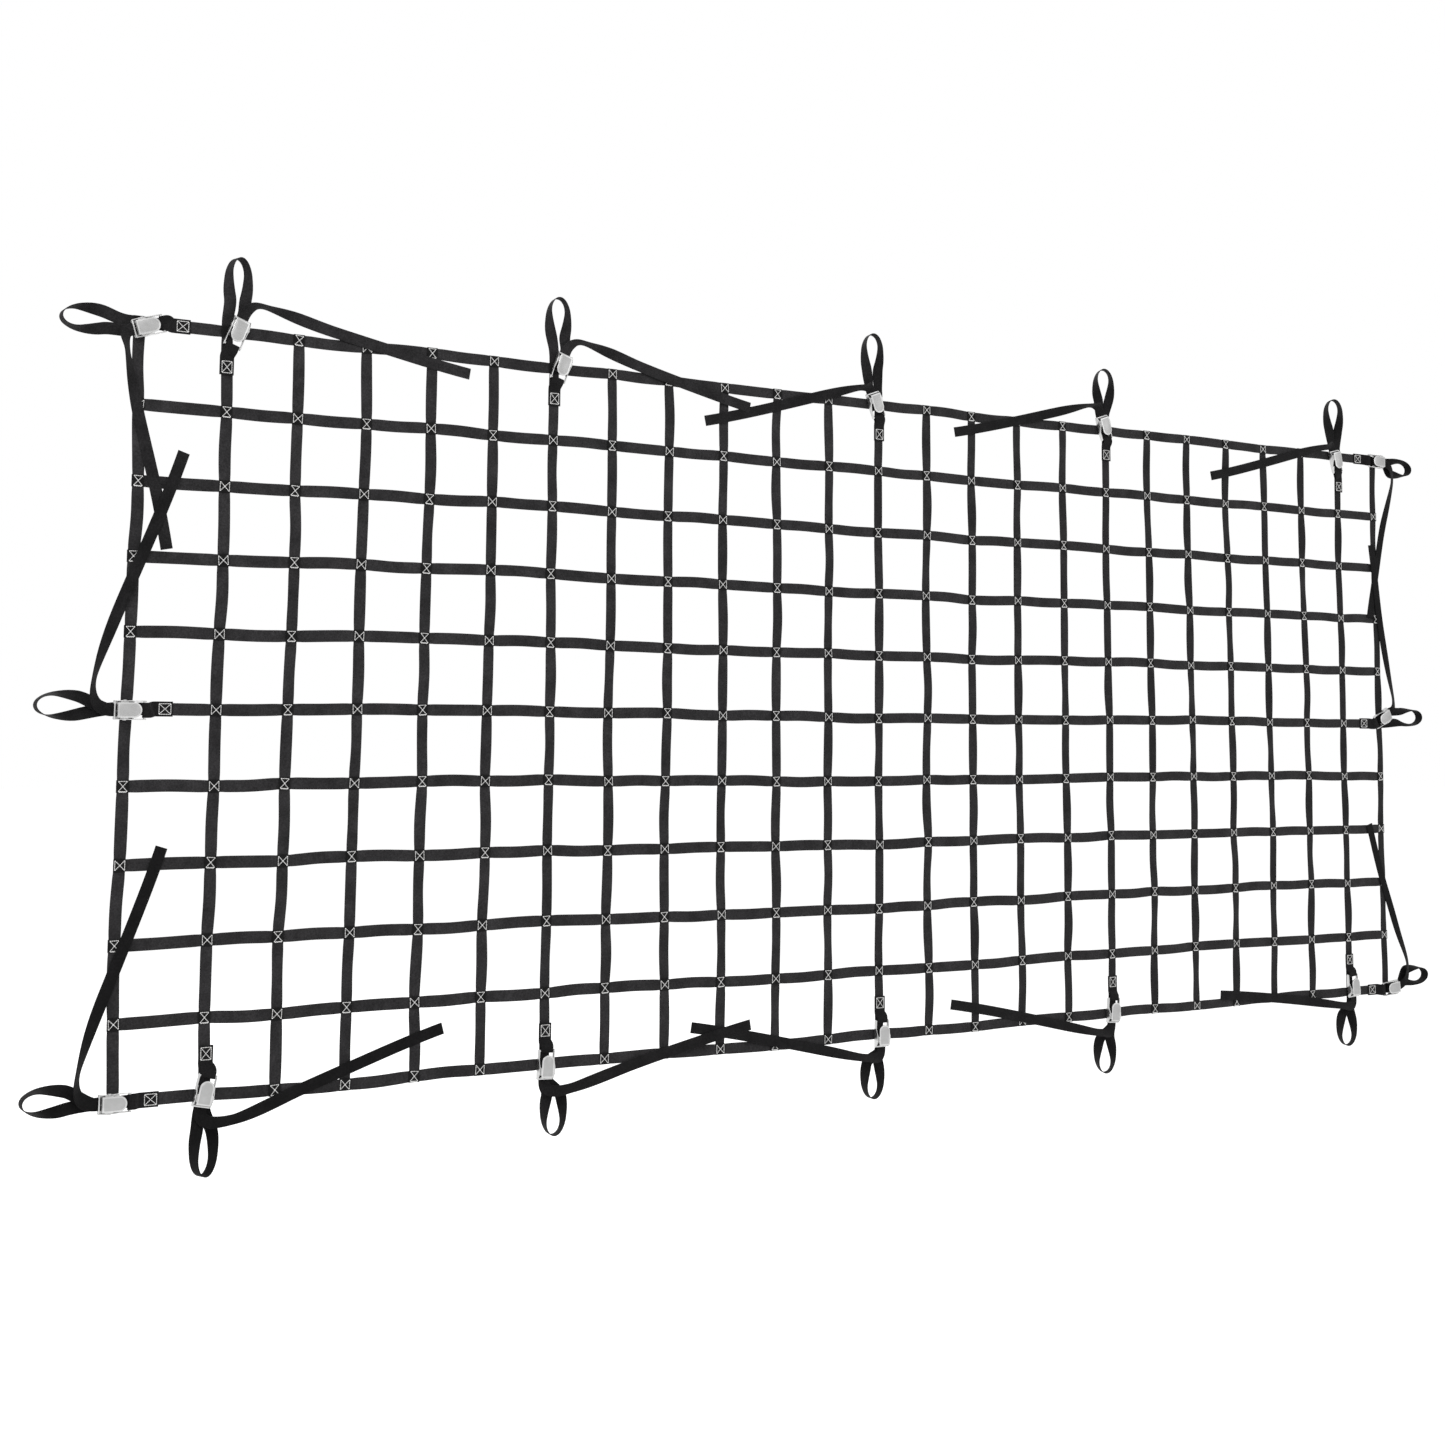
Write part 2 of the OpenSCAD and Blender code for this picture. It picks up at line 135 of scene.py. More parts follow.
# Places along the buckle, from its middle towards the loop
inner_w = tab_w + 2 * tab_gap
frame_w = inner_w + 2 * sheet_t
front_s = frame_l / 2 - 1
pivot_s = front_s - 20
base_in = front_s - 42
bar_s = rail - frame_l / 2
lever_front = front_s - front_bar - 1 - pivot_s
cam_w = inner_w - 2 * hub_gap
cam_drop = pivot_n - strap_top - teeth_gap
wrap_turn = (channel_n - back_n) / 2
strap_in = base_in - strap_gap
patch_end = -52
seam_from, seam_to = 4 - tab_reach, patch_end - 8
strand_start, strand_pull, foot_pull, eye_pull = 4, 30, 18, 20
eye_taper, eye_waist = 72, 36
twist_gap, twist_late, left_twist_late = 8, 1.4, 3
tail_way = np.array([1, -0.15]) / math.hypot(1, 0.15)
tail_pull = 60

# Anchor points, as in part.scad: name, side angle, strap number, whether mirrored, lean, buckle's
# middle, loop's tip, tail's bend, tail's end, twist at the bend, lift of the end, loop's turn at its tip
ANCHORS = [
    ("top_1", 0, 1, 0, 20, (18, -2), (20, 156), (74, 56), (550, -34), 80, 0, -78),
    ("top_2", 0, 6, 0, 18, (14, 3), (8, 162), (70, 61), (526, -42), 80, 2.2, -100),
    ("top_3", 0, 12, 1, 20, (15, -2), (20, 176), (62, 36), (510, -84), 60, 0, 105),
    ("top_4", 0, 17, 1, 18, (12, 6), (6, 165), (66, 60), (520, -48), 72, 0, 116),
    ("top_5", 0, 23, 1, 14, (16, -16), (14, 166), (72, 20), (520, -94), 50, 0, 116),
    ("bottom_1", 180, 1, 1, -12, (-2, -8), (2, 158), (58, 50), (515, -94), 50, 0, -72),
    ("bottom_2", 180, 6, 1, -3, (0, 0), (24, 153), (62, 53), (536, -48), 48, 2.2, -100),
    ("bottom_3", 180, 12, 0, 0, (-2, -2), (21, 150), (56, 50), (536, -52), 48, 0, 100),
    ("bottom_4", 180, 17, 0, 4, (4, -8), (28, 150), (60, 44), (540, -56), 45, 0, 116),
    ("bottom_5", 180, 23, 0, -5, (-6, -18), (16, 148), (56, 33), (517, -22), 40, 0, 116),
    ("left_1", -90, 0, 1, 17, (8, -16), (4, 156), (64, 27), (455, -70), 50, 0, 90),
    ("left_2", -90, 5, 0, 0, (-3, -5), (5, 177), (58, 70), (517, -98), 55, 2.2, 90),
    ("left_3", -90, 10, 0, 0, (0, -2), (12, 175), (60, 74), (488, -79), 55, 0, 90),
    ("right_1", 90, 0, 0, 2, (3, 6), (17, 158), (62, 69), (467, -30), -26, 0, 90),
    ("right_2", 90, 5, 1, 26, (16, 6), (20, 177), (72, 50), (522, -20), -26, 2.2, 90),
    ("right_3", 90, 10, 1, 6, (2, 14), (32, 172), (70, 82), (470, -56), -26, 0, 90),
]


class Anchor:
    """One anchor point: its own sizes, and how its frame lies in the net's frame."""

    def __init__(self, name, angle, strap, mirrored, lean, mid, tip, bend, end, twist, lift, turn):
        self.name, self.angle, self.strap = name, angle, strap
        self.lean, self.twist, self.lift = math.radians(lean), twist, lift
        self.mid, self.tip, self.bend, self.end = (np.array(p, float) for p in (mid, tip, bend, end))
        self.is_side = abs(angle) == 90
        side = -1 if mirrored else 1
        cos, sin = math.cos(math.radians(angle)), math.sin(math.radians(angle))
        if self.is_side:
            self.column, self.row = (COLUMNS - 1 if angle > 0 else 0), strap
        else:
            self.column, self.row = strap, (ROWS - 1 if angle > 90 else 0)
        # Anchor frame to row frame: sideways, out of the net (-Y) and outward
        self.axes = np.array([[side * cos, 0, sin], [0, 1, 0], [-side * sin, 0, cos]])
        self.origin = np.array([COLUMN_X[self.column], 0, ROW_Z[self.row]])
        self.lean_way = np.array([math.sin(self.lean), math.cos(self.lean)])
        self.strand_n = -1.5 * web_t if self.is_side else -web_t / 2
        self.patch_n = -web_t if self.is_side else 0
        self.eye_base = self.tip[1] - eye_tip
        self.loop_turn = turn
        buckle_end = self.along(front_s)
        self.back_side = -1 if turn < 0 and buckle_end[0] < 0 else 1
        self.twist_from = buckle_end[1] + twist_gap

    def along(self, s):
        return self.mid + s * self.lean_way

    def place(self, points):
        """Points of the anchor frame, in millimetres, to the row frame in metres."""
        return np.asarray(points, float) @ self.axes.T * MM + self.origin

    def turn(self, ways):
        return np.asarray(ways, float) @ self.axes.T

    def on_buckle(self, points):
        """Points as [sideways, along the buckle, out of the net], in millimetres, to the row frame."""
        p = np.asarray(points, float)
        across = np.array([math.cos(self.lean), -math.sin(self.lean)])
        flat = self.mid + p[:, :1] * across + p[:, 1:2] * self.lean_way
        return self.place(np.stack([flat[:, 0], -p[:, 2], flat[:, 1]], 1))


ANCHORS = [Anchor(*a) for a in ANCHORS]
ANCHORED = {(a.column, a.row) for a in ANCHORS}

# ---------------------------------------------------------------- ribbons


def ease(x):
    t = np.clip(x, 0, 1)
    return t * t * (3 - 2 * t)


def unit(v):
    return v / np.linalg.norm(v, axis=-1, keepdims=True)


def bezier(p, t):
    t = np.asarray(t, float)[:, None]
    return p[0] * (1 - t) ** 3 + 3 * p[1] * t * (1 - t) ** 2 + 3 * p[2] * t * t * (1 - t) + p[3] * t**3


def bezier_way(p, t):
    t = np.asarray(t, float)[:, None]
    return unit((p[1] - p[0]) * (1 - t) ** 2 + 2 * (p[2] - p[1]) * t * (1 - t) + (p[3] - p[2]) * t * t)


def stations(p, way, turn, n):
    """Middle points and width directions of a ribbon, in an anchor's frame.

    way is its direction in the plane of the net, turn its twist about that in degrees, and n its
    height above the net."""
    p, way = np.atleast_2d(p), np.atleast_2d(way)
    count = max(len(p), len(way), np.size(n), np.size(turn))
    p, way = np.broadcast_to(p, (count, 2)), np.broadcast_to(way, (count, 2))
    n = np.broadcast_to(n, count)
    c, s = np.cos(np.radians(turn)), np.sin(np.radians(turn))
    c, s = np.broadcast_to(c, count), np.broadcast_to(s, count)
    return (np.stack([p[:, 0], -n, p[:, 1]], 1), np.stack([way[:, 1] * c, s, -way[:, 0] * c], 1))


def join(parts):
    return tuple(np.concatenate([p[k] for p in parts]) for k in (0, 1))


EDGE_POINTS = 4
FACE_POINTS = 9


def section(width, thick):
    """The webbing's cross-section: flat faces and round edges, counter-clockwise."""
    r = thick / 2
    flat = np.linspace(-1, 1, FACE_POINTS) * (width / 2 - r)
    turn = np.linspace(-90, 90, EDGE_POINTS + 2)[1:-1]
    right = np.stack([width / 2 - r + r * np.cos(np.radians(turn)), r * np.sin(np.radians(turn))], 1)
    lower = np.stack([flat, np.full(FACE_POINTS, -r)], 1)
    return np.concatenate([lower, right, -lower, -right])


def new_piece(name, points, faces, material, smooth=True):
    mesh = bpy.data.meshes.new(name)
    mesh.from_pydata([tuple(p) for p in points], [], faces)
    mesh.polygons.foreach_set("use_smooth", [smooth] * len(mesh.polygons))
    mesh.materials.append(material)
    mesh.update()
    piece = bpy.data.objects.new(name, mesh)
    bpy.context.scene.collection.objects.link(piece)
    return piece


def ribbon(name, middles, widths, width, thick, material,
           pressed=None, narrow=None, sealed=False, shade=1):
    """A strap swept along its middle points, with its places along and across kept for the weave."""
    way = np.gradient(middles, axis=0)
    way = unit(way)
    side = unit(widths - way * (widths * way).sum(1, keepdims=True))
    thickness = np.cross(way, side)
    outline = section(width, thick)
    count, around = len(middles), len(outline)
    narrow = np.ones(count) if narrow is None else narrow
    step = np.linalg.norm(np.diff(middles, axis=0), axis=1)
    along = np.concatenate([[0], np.cumsum(step)])
    swell = np.ones(count)
    if sealed:  # the cut end is melted into a slightly thicker bead
        swell += 0.35 * np.exp(-(((along[-1] - along) / (1.2 * MM)) ** 2))
    points = (
        middles[:, None]
        + side[:, None] * (outline[:, 0][None, :, None] * narrow[:, None, None])
        + thickness[:, None] * (outline[:, 1][None, :, None] * swell[:, None, None])
    ).reshape(-1, 3)
    ring, turn = np.arange(count - 1)[:, None], np.arange(around)[None]
    after = (turn + 1) % around
    quads = np.stack(
        np.broadcast_arrays(
            ring * around + turn, ring * around + after,
            (ring + 1) * around + after, (ring + 1) * around + turn,
        ), -1,
    ).reshape(-1, 4)
    faces = quads.tolist()
    faces.append(list(range(around))[::-1])
    faces.append([(count - 1) * around + k for k in range(around)])
    piece = new_piece(name, points, faces, material)
    values = {
        "along": np.repeat(along, around),
        "across": np.tile(outline[:, 0], count),
        # pressed is painted shade in the sewn crossings; shade makes a whole strap lighter or darker, painted
        # light and shade
        "pressed": np.repeat(np.zeros(count) if pressed is None else pressed, around),
        "shade": np.full(count * around, shade),
    }
    for key, value in values.items():
        attribute = piece.data.attributes.new(key, "FLOAT", "POINT")
        attribute.data.foreach_set("value", np.asarray(value, np.float32))
    return piece


# ---------------------------------------------------------------- materials


def color(level, tint=(1, 1, 1)):
    return (level * tint[0], level * tint[1], level * tint[2], 1)


class Nodes:
    """Short calls for building a material's node tree."""

    def __init__(self, name):
        self.material = bpy.data.materials.new(name)
        self.material.use_nodes = True
        self.tree = self.material.node_tree
        self.shader = self.tree.nodes["Principled BSDF"]

    def add(self, kind, **settings):
        node = self.tree.nodes.new(kind)
        for key, value in settings.items():
            setattr(node, key, value)
        return node

    def link(self, value, socket):
        if isinstance(value, bpy.types.NodeSocket):
            self.tree.links.new(value, socket)
        else:
            socket.default_value = value

    def math(self, operation, a, b=0.0, c=0.0):
        node = self.add("ShaderNodeMath", operation=operation)
        for socket, value in zip(node.inputs, (a, b, c)):
            self.link(value, socket)
        return node.outputs[0]

    def attribute(self, name):
        return self.add("ShaderNodeAttribute", attribute_name=name).outputs["Fac"]

    def place(self):
        return self.add("ShaderNodeTexCoord").outputs["Object"]

    def noise(self, vector, scale, detail=2.0, rough=0.5):
        node = self.add("ShaderNodeTexNoise")
        self.link(vector, node.inputs["Vector"])
        node.inputs["Scale"].default_value = scale
        node.inputs["Detail"].default_value = detail
        node.inputs["Roughness"].default_value = rough
        return node.outputs[0]

    def span(self, value, low, high, to_low=0.0, to_high=1.0):
        node = self.add("ShaderNodeMapRange")
        for socket, number in zip(node.inputs, (value, low, high, to_low, to_high)):
            self.link(number, socket)
        return node.outputs[0]

    def ramp(self, value, stops):
        node = self.add("ShaderNodeValToRGB")
        self.link(value, node.inputs[0])
        elements = node.color_ramp.elements
        for element, (at, shade) in zip(elements, (stops[0], stops[-1])):
            element.position, element.color = at, shade
        for at, shade in stops[1:-1]:
            elements.new(at).color = shade
        return node.outputs[0]

    def bump(self, height, distance, strength=1.0):
        node = self.add("ShaderNodeBump")
        node.inputs["Distance"].default_value = distance
        node.inputs["Strength"].default_value = strength
        self.link(height, node.inputs["Height"])
        self.link(node.outputs[0], self.shader.inputs["Normal"])

    def set(self, **values):
        for key, value in values.items():
            self.link(value, self.shader.inputs[key.replace("_", " ")])


RIB = 1.6 * MM      # width of one lengthwise rib of the weave
PICK = 2.0 * MM     # length of one float of the weave


def webbing_material(name, shade, tint, sheen, gloss):
    """Woven polyester: lengthwise ribs of slanting floats, with painted shade in the sewn crossings and
    painted light and shade that makes some straps lighter or darker.
    """
    m = Nodes(name)
    along, across, pressed, painted_strap_shade = (m.attribute(k) for k in ("along", "across", "pressed", "shade"))
    rib = m.math("DIVIDE", across, RIB)
    slant = m.math("PINGPONG", rib, 1.0)
    turn = m.math("ADD", m.math("DIVIDE", along, PICK), m.math("MULTIPLY", slant, 0.9))
    float_height = m.math("ABSOLUTE", m.math("SINE", m.math("MULTIPLY", turn, math.pi)))
    rib_height = m.math("ABSOLUTE", m.math("SINE", m.math("MULTIPLY", rib, math.pi)))
    weave = m.math("MULTIPLY", m.math("POWER", rib_height, 0.5), m.math("POWER", float_height, 0.6))
    place = m.place()
    cloud = m.noise(place, 6.5, 3.0)
    patch = m.noise(place, 24.0, 2.0)
    mottle = m.noise(place, 260.0, 3.0, 0.6)
    fuzz = m.noise(place, 900.0, 2.0)
    level = m.math("MULTIPLY", m.span(cloud, 0.3, 0.7, 0.82, 1.18), m.span(weave, 0.0, 1.0, 0.5, 1.25))
    level = m.math("MULTIPLY", level, m.span(patch, 0.3, 0.7, 0.7, 1.3))
    level = m.math("MULTIPLY", level, m.span(mottle, 0.3, 0.7, 0.6, 1.45))
    # painted shade: the webbing is darkened in and next to the sewn crossings
    level = m.math("MULTIPLY", level, m.span(pressed, 0.0, 1.0, 1.0, 0.22))
    # painted light and shade: whole straps made lighter or darker by the shade attribute
    level = m.math("MULTIPLY", level, painted_strap_shade)
    level = m.math("MULTIPLY", level, m.span(fuzz, 0.2, 0.8, 0.85, 1.15))
    dark, light = color(0.0, tint), color(shade * 4, tint)
    m.set(Base_Color=m.ramp(m.math("MULTIPLY", level, 0.25), [(0, dark), (1, light)]))
    m.set(Roughness=m.span(weave, 0.0, 1.0, 0.95, 0.8))
    m.set(Specular_IOR_Level=gloss, Sheen_Weight=sheen, Sheen_Roughness=0.4)
    m.bump(m.math("ADD", weave, m.math("MULTIPLY", fuzz, 0.25)), 0.22 * MM, 0.6)
    return m.material


def thread_material():
    """Twisted bonded thread, slightly soiled."""
    m = Nodes("thread")
    place = m.place()
    soil = m.noise(place, 120.0, 2.0)
    twist = m.noise(place, 2600.0, 1.0)
    m.set(Base_Color=m.ramp(m.math("ADD", m.math("MULTIPLY", soil, 0.7), m.math("MULTIPLY", twist, 0.3)),
                            [(0.3, color(0.72, (1, 0.99, 0.97))), (0.65, color(0.92, (1, 1, 0.99)))]))
    m.set(Roughness=0.7, Specular_IOR_Level=0.3, Sheen_Weight=0.2)
    m.bump(twist, 0.15 * MM, 0.6)
    return m.material


def metal_material(name, shade, rough, grain):
    """Satin zinc plate: fine grain from rolling, faint clouds in the plating, light scratches."""
    m = Nodes(name)
    place = m.place()
    cloud = m.noise(place, 90.0, 3.0)
    stretch = m.add("ShaderNodeMapping")
    m.link(place, stretch.inputs["Vector"])
    stretch.inputs["Scale"].default_value = (1.0, 1.0, 12.0)
    lines = m.noise(stretch.outputs[0], grain, 4.0, 0.7)
    tone = m.math("ADD", m.math("MULTIPLY", cloud, 0.6), m.math("MULTIPLY", lines, 0.4))
    m.set(Base_Color=m.ramp(tone, [(0.3, color(shade * 0.86, (1, 1, 0.99))), (0.7, color(shade))]))
    m.set(Metallic=1.0, Roughness=m.span(lines, 0.2, 0.8, rough - 0.07, rough + 0.09))
    m.bump(lines, 0.05 * MM, 0.35)
    return m.material


WEBBING = webbing_material("webbing", 0.0265, (1.02, 0.98, 1.03), 0.1, 0.16)
LOOP_WEBBING = webbing_material("loop_webbing", 0.0105, (1.02, 0.98, 1.03), 0.06, 0.12)
THREAD = thread_material()
BUCKLE_METAL = metal_material("buckle_metal", 0.6, 0.3, 700.0)
PLATE_METAL = metal_material("plate_metal", 0.43, 0.44, 500.0)
SPRING_STEEL = metal_material("spring_steel", 0.55, 0.28, 400.0)

# ---------------------------------------------------------------- net straps

# Gentle unevenness of the net: (column, row, spread in columns, spread in rows, sideways, up)
SWAYS = [
    (5, 4, 3.2, 5, 0, 7),
    (0, 0, 4, 4, 9, -4),
    (1, 10, 4, 3, -9, -7),
    (14.4, 5, 1.1, 9, -9, -2),
    (19, 7, 4, 4, 6, 3),
    (11, 9, 3, 2.5, 1, -5),
    (22, 1, 3, 2, -7, -2),
]
rng = np.random.default_rng(7)
JITTER = rng.uniform(-1, 1, (COLUMNS, ROWS, 4))
JITTER_REACH = 2.2    # millimetres, at random and not from the photo


def sway(i, j):
    """Sideways and upward shift of a crossing, in millimetres, none at the anchors."""
    shift = np.zeros(2)
    for column, row, wide, tall, right, up in SWAYS:
        share = math.exp(-(((i - column) / wide) ** 2) - ((j - row) / tall) ** 2)
        shift += share * np.array([right, up])
    shift += JITTER[i, j, :2] * JITTER_REACH
    for column, row in ANCHORED:
        shift *= 1 - math.exp(-((i - column) ** 2 + (j - row) ** 2) / 1.2)
    return shift


CROSSING = np.array([
    [np.array([COLUMN_X[i], ROW_Z[j]]) + sway(i, j) * MM for j in range(ROWS)] for i in range(COLUMNS)
])
FRONT_Y, BACK_Y = WEB_T / 2, 1.5 * WEB_T
BOW_TIE_ON_EVEN = (1, 7, 9)


def is_bow_tie(i, j):
    return (i % 2 == 0) == (j in BOW_TIE_ON_EVEN)


def column_in_front(i, j):
    return (i, j) in ANCHORED or not is_bow_tie(i, j)


# How much darker the last upright strap is than the first: painted shade, the net darker towards its
# right end as the light falls. It follows the photo's grey levels; 0 makes all upright straps alike
UPRIGHT_PAINTED_SHADE = 0.45
BOW, SAG, ROLL = 1.8 * MM, 1.9 * MM, 11    # most unevenness halfway between two crossings
SAMPLE = 5 * MM
SEWN_HALF = 13 * MM


def net_strap(name, node, crossings, levels, vertical, ends, shade=1):
    """A strap through its crossings. levels are its depths there, and ends says which of its two
    ends go on into a loop, where it stays flat under the tab."""
    axis, other = (1, 0) if vertical else (0, 1)
    places, shifts = crossings[:, axis], crossings[:, other]
    slope = np.gradient(shifts)
    slope[[0, -1]] = 0
    on_edge = ends[0] and ends[1] and np.ptp(levels) < WEB_T / 2
    local = np.random.default_rng(sum(map(ord, name)))
    middles, pressed, twist, narrow = [], [], [], []
    for k in range(len(places) - 1):
        count = max(8, round(abs(places[k + 1] - places[k]) / SAMPLE))
        u = np.arange(count) / count
        hump = np.sin(math.pi * u) ** 2
        h = ease(u)
        lean = u * (1 - u) ** 2 * slope[k] - u * u * (1 - u) * slope[k + 1]
        shift = shifts[k] + (shifts[k + 1] - shifts[k]) * h + lean
        held = (k == 0 and ends[0]) or (k == len(places) - 2 and ends[1])
        rise = (0.15, 0.85)
        if k == 0 and ends[0]:
            rise = (0.62, 0.95)
        elif k == len(places) - 2 and ends[1]:
            rise = (0.05, 0.38)
        level = levels[k] + (levels[k + 1] - levels[k]) * ease((u - rise[0]) / (rise[1] - rise[0]))
        sag, bow, roll = local.uniform(-1, 1, 3) * (0 if held else 1)
        bow = abs(bow) if on_edge else bow
        along = places[k] + (places[k + 1] - places[k]) * u
        reach = np.minimum(u, 1 - u) * abs(places[k + 1] - places[k])
        middles.append(np.stack([along, level + bow * BOW * hump, shift + sag * SAG * hump], 1))
        # painted shade in and next to each sewn crossing, where the straps overlap
        pressed.append(ease((SEWN_HALF + 3 * MM - reach) / (5 * MM)))
        twist.append(math.radians(ROLL) * roll * hump)
        narrow.append(1 - 0.045 * np.exp(-(((reach - SEWN_HALF) / (9 * MM)) ** 2)))
    middles = np.concatenate(middles)
    last = np.array([[places[-1], levels[-1], shifts[-1]]])
    way = np.sign(places[-1] - places[0])
    out = np.linspace(WEB_W / 2, SAMPLE, 3)
    start = np.stack([places[0] - way * out, np.full(3, levels[0]), np.full(3, shifts[0])], 1)
    finish = np.stack([places[-1] + way * out[::-1], np.full(3, levels[-1]), np.full(3, shifts[-1])], 1)
    middles = np.concatenate([start, middles, last, finish])
    pressed = np.concatenate([np.ones(3), *pressed, np.ones(4)])
    twist = np.concatenate([np.zeros(3), *twist, np.zeros(4)])
    narrow = np.concatenate([np.full(3, narrow[0][0]), *narrow, np.full(4, narrow[0][0])])
    if vertical:
        middles = middles[:, [2, 1, 0]]
        widths = np.stack([np.cos(twist), np.sin(twist), np.zeros(len(twist))], 1)
    else:
        widths = np.stack([np.zeros(len(twist)), np.sin(twist), np.cos(twist)], 1)
    piece = ribbon(name, middles, widths, WEB_W, WEB_T, WEBBING, pressed, narrow, shade=shade)
    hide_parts(node)
    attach(piece, "net")


def make_net():
    for i in range(COLUMNS):
        levels = [FRONT_Y if column_in_front(i, j) else BACK_Y for j in range(ROWS)]
        inner = 0 < i < COLUMNS - 1
        ends = (inner and (i, 0) in ANCHORED, inner and (i, ROWS - 1) in ANCHORED)
        # painted shade: each upright strap darker than the one before it, towards the right end
        shade = 1 - UPRIGHT_PAINTED_SHADE * (i / (COLUMNS - 1)) ** 2
        net_strap(f"upright_strap_{i:02d}", f"column_webbing_{i:02d}", CROSSING[i], levels, True, ends, shade)
    for j in range(ROWS):
        levels = [BACK_Y if column_in_front(i, j) else FRONT_Y for i in range(COLUMNS)]
        ends = (j in (0, 5, 10), j in (0, 5, 10))
        net_strap(f"level_strap_{j:02d}", f"row_webbing_{j:02d}", CROSSING[:, j], levels, False, ends)


# ---------------------------------------------------------------- loops and tails

LOOP_STEPS, EYE_STEPS, TURN_STEPS, BEND_STEPS, TAIL_STEPS = 34, 36, 12, 26, 96


def turned(a, height):
    """Share of its turn that a strand has at a height."""
    u = np.clip((height - a.twist_from) / (a.tip[1] - a.twist_from), 0, 1)
    return np.sin(math.pi / 2 * u) ** (left_twist_late if a.angle == -90 else twist_late)


def strand(a, p, way, flat_turn, n):
    """Stations of a strand of the loop. It is on edge after a quarter turn, and the rest of the turn
    swings the eye round the loop's own axis. n is its height above the net where it lies flat."""
    k = turned(a, p[:, 1])
    sense = math.copysign(1, a.loop_turn)
    quarter = (1 if flat_turn == 0 else -1) * sense * 90
    flat = stations(p, way, flat_turn + quarter * k, 0)[1]
    swing = np.radians(a.loop_turn - sense * 90) * k
    cos, sin = np.cos(swing), np.sin(swing)
    x = p[:, 0] - a.tip[0]
    side, back, up = flat.T
    return (
        np.stack([a.tip[0] + x * cos, x * sin - n * (1 - k), p[:, 1]], 1),
        np.stack([side * cos - back * sin, side * sin + back * cos, up], 1),
    )


def eye_points(a, f):
    """Points of the eye, and its way there. f goes from 0 to 180 over its middle."""
    f = np.radians(np.atleast_1d(f))
    half = a.back_side * eye_w / 2
    length = np.where(np.sin(f) > 0, eye_tip, eye_taper)
    p = np.stack([a.tip[0] - half * np.cos(f), a.eye_base + length * np.sin(f)], 1)
    return p, unit(np.stack([half * np.sin(f), length * np.cos(f)], 1))


def loop_stations(a):
    (left,), (left_way,) = eye_points(a, -eye_waist)
    (right,), (right_way,) = eye_points(a, 180 + eye_waist)
    foot = a.along(front_s + 3)
    start, hold = np.array([0, web_w / 2 + strand_start]), np.array([0, web_w / 2 + strand_pull])
    out = [start, hold, left - eye_pull * left_way, left]
    back = [right, right + eye_pull * right_way, foot + foot_pull * a.lean_way, foot]
    t = np.linspace(0, 1, LOOP_STEPS)
    f = np.linspace(-eye_waist, 180 + eye_waist, EYE_STEPS)[1:-1]
    rising = f < 90
    return join([
        stations([0, web_w / 2], [0, 1], 0, a.strand_n),
        strand(a, bezier(out, t), bezier_way(out, t), 0, a.strand_n),
        strand(a, *eye_points(a, f[rising]), 0, a.strand_n),
        strand(a, *eye_points(a, f[~rising]), 180, back_n),
        strand(a, bezier(back, t), bezier_way(back, t), 180, back_n),
    ])


def buckle_stations(a):
    ahead = a.lean_way
    f = np.radians(np.linspace(0, 180, TURN_STEPS))
    s = strap_in - wrap_turn * np.sin(f)
    level = (back_n + channel_n) / 2 - wrap_turn * np.cos(f)
    wrap = stations(a.mid + s[:, None] * ahead, ahead, 0, level)
    behind = np.linspace(front_s - 1, strap_in + 3, 9)
    under = stations(a.mid + behind[:, None] * ahead, -ahead, 180, back_n)
    through = np.linspace(strap_in + 3, front_s - 3, 9)
    channel = stations(a.mid + through[:, None] * ahead, ahead, 0, channel_n)
    return join([under, wrap, channel])


def tail_stations(a):
    foot = a.along(front_s + 1)
    reach = np.linalg.norm(a.bend - foot) / 2
    bend = [foot, foot + reach * a.lean_way, a.bend - reach * tail_way, a.bend]
    before_end = a.end + (a.bend - a.end) * 0.4 - np.array([0, 8])
    end = [a.bend, a.bend + tail_pull * tail_way, before_end, a.end]
    t = np.linspace(0, 1, BEND_STEPS)
    turn = a.twist * ease(t)
    first = stations(bezier(bend, t), bezier_way(bend, t), turn,
                     channel_n + web_w / 2 * np.abs(np.sin(np.radians(turn))) + 2 * t)
    t = np.linspace(0, 1, TAIL_STEPS)[1:]
    k = 1 - ease(t * 2.2)
    turn = a.twist * k
    rest = back_n + a.lift
    height = rest + web_w / 2 * np.abs(np.sin(np.radians(turn))) + (channel_n + 2 - rest) * k
    height = height + (1 - k) * 0.9 * (1 - np.cos(t * 4 * math.pi + a.strap))
    second = stations(bezier(end, t), bezier_way(end, t), turn, height)
    return join([first, second])


# How light each looped strap is, the rest being 1, set by comparing grey levels with the photo's.
# This is painted light and shade: one webbing made lighter or darker strap by strap for how the light falls
# on it
LOOP_LIGHT_AND_SHADE = {
    "top_1": 2.2, "top_2": 2.0, "top_3": 1.2, "left_1": 1.5, "left_3": 0.6,
    "bottom_1": 0.6, "right_1": 0.6, "right_2": 0.6, "right_3": 0.5,
}


def make_loops():
    for a in ANCHORS:
        points, widths = join([loop_stations(a), buckle_stations(a), tail_stations(a)])
        node = "side_loop_straps" if a.is_side else a.name.split("_")[0] + "_loop_straps"
        # painted light and shade: some looped straps are made lighter or darker as a whole
        piece = ribbon(f"loop_strap_{a.name}", a.place(points), a.turn(widths), WEB_W, WEB_T,
                       LOOP_WEBBING, sealed=True, shade=LOOP_LIGHT_AND_SHADE.get(a.name, 1))
        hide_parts(node)
        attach(piece, "net")


# ---------------------------------------------------------------- tabs


